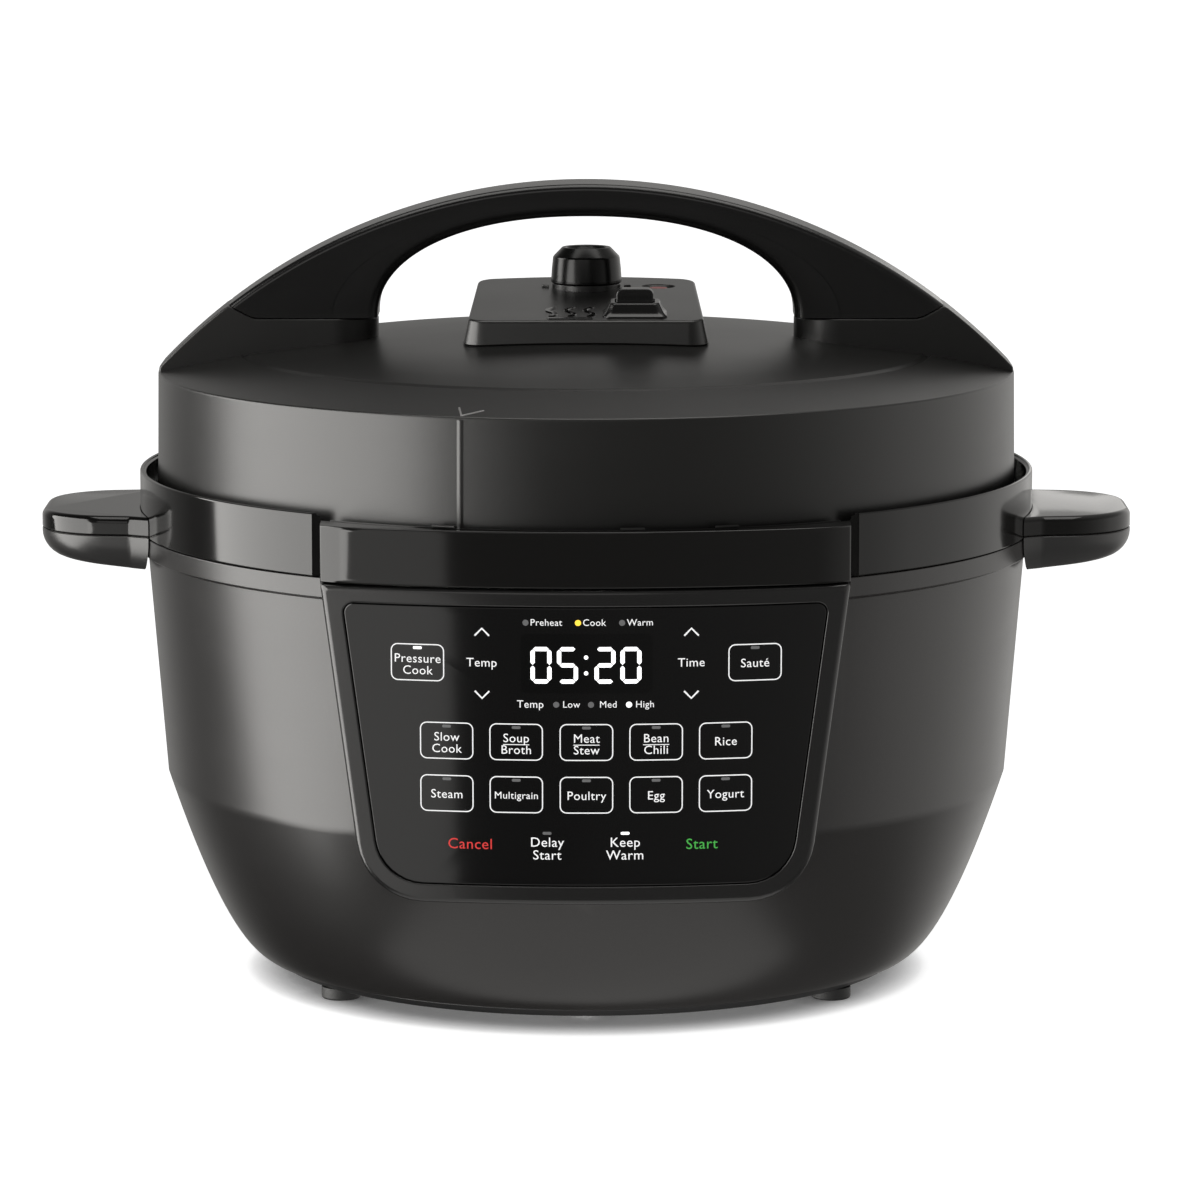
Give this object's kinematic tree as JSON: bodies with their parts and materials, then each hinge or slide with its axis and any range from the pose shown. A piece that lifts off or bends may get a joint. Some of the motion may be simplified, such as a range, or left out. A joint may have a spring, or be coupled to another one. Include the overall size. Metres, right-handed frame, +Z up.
{
  "type": "electric pressure cooker",
  "caption": "Wide countertop electric pressure cooker with a domed bayonet lid under an arched handle, a collar with side handles, a front touch console, and a removable inner pot.",
  "frame": {"origin": "on the table under the middle of the cooker: the middle of the underside of its bounding box", "axes": "+X to the cooker's right-hand side as seen from the front, along both side handles; -Y out of the front console; +Z up"},
  "size_m": [0.43, 0.3532, 0.3138],
  "materials": {
    "housing_satin": "dark brownish metallic satin",
    "lid_satin": "fine-grained matte black",
    "collar_gloss": "glossy black",
    "handle_black": "satin black",
    "panel_gloss": "glossy black film over the display",
    "bezel_satin": "satin black frame",
    "cover_black": "plain black moulding",
    "foot_rubber": "black rubber",
    "pot_steel": "brushed stainless steel",
    "heater_aluminium": "cast and pressed aluminium",
    "seal_silicone": "milky silicone rubber",
    "float_red": "red pin",
    "board_green": "green circuit board",
    "screw_steel": "plated steel",
    "lead_black": "black flexible sleeve"
  },
  "bodies": {
    "base": {"outer_housing": "housing_satin", "bottom_cover": "cover_black", "foot_1": "foot_rubber", "foot_2": "foot_rubber", "foot_3": "foot_rubber", "foot_4": "foot_rubber", "cover_screw_1": "screw_steel", "cover_screw_2": "screw_steel", "cover_screw_3": "screw_steel", "cover_screw_4": "screw_steel", "rim_collar": "collar_gloss", "front_fascia": "collar_gloss", "panel_bezel": "bezel_satin", "touch_panel": "panel_gloss", "display_module": "cover_black", "control_board": "board_green", "left_handle_cap": "collar_gloss", "left_handle_grip": "handle_black", "right_handle_cap": "collar_gloss", "right_handle_grip": "handle_black", "liner_pot": "heater_aluminium", "lock_ring": "pot_steel", "heating_plate": "heater_aluminium", "heater_tube": "screw_steel", "sensor_bracket": "heater_aluminium", "sensor_spring": "screw_steel", "power_board": "board_green", "power_inlet": "cover_black", "inlet_pin_1": "screw_steel", "inlet_pin_2": "screw_steel", "inlet_pin_3": "screw_steel", "mains_lead": "lead_black"},
    "inner_pot": {"inner_pot": "pot_steel"},
    "sealing_ring": {"sealing_ring": "seal_silicone"},
    "lid": {"lid_cover": "lid_satin", "lid_liner": "pot_steel", "seal_rack": "screw_steel", "handle_shell": "handle_black", "handle_insert": "handle_black", "handle_mount_left": "lid_satin", "handle_mount_right": "lid_satin", "valve_cover": "lid_satin", "release_surround": "handle_black", "release_spring": "screw_steel", "steam_pipe": "pot_steel", "vent_shield": "pot_steel"},
    "steam_valve": {"steam_valve_knob": "handle_black"},
    "float_valve": {"float_pin": "float_red", "float_seal": "seal_silicone"},
    "release_switch": {"release_button": "handle_black"},
    "condensation_cup": {"condensation_cup": "cover_black"},
    "thermal_sensor": {"sensor_cap": "pot_steel"}
  },
  "joints": [
    {"name": "pot_lift", "type": "slide", "parent": "base", "child": "inner_pot", "axis": [0, 0, 1], "range_m": [0, 0.2]},
    {"name": "lid_lift", "type": "slide", "parent": "inner_pot", "child": "sealing_ring", "axis": [0, 0, 1], "range_m": [0, 0.3]},
    {"name": "lid_turn", "type": "hinge", "parent": "sealing_ring", "child": "lid", "pos_m": [0, 0, 0.2], "axis": [0, 0, 1], "range_deg": [0, 34]},
    {"name": "steam_valve_lift", "type": "slide", "parent": "lid", "child": "steam_valve", "axis": [0, 0, 1], "range_m": [0, 0.014]},
    {"name": "float_rise", "type": "slide", "parent": "lid", "child": "float_valve", "axis": [0, 0, 1], "range_m": [0, 0.005]},
    {"name": "release_press", "type": "slide", "parent": "lid", "child": "release_switch", "axis": [0, 0, -1], "range_m": [0, 0.003], "stiffness_N_per_m": 300, "springref_m": -0.002, "deforming": ["release_spring"]},
    {"name": "cup_pull", "type": "slide", "parent": "base", "child": "condensation_cup", "axis": [0, 1, 0], "range_m": [0, 0.05]},
    {"name": "sensor_press", "type": "slide", "parent": "base", "child": "thermal_sensor", "axis": [0, 0, -1], "range_m": [0, 0.002], "stiffness_N_per_m": 600, "springref_m": -0.002, "deforming": ["sensor_spring"]}
  ]
}
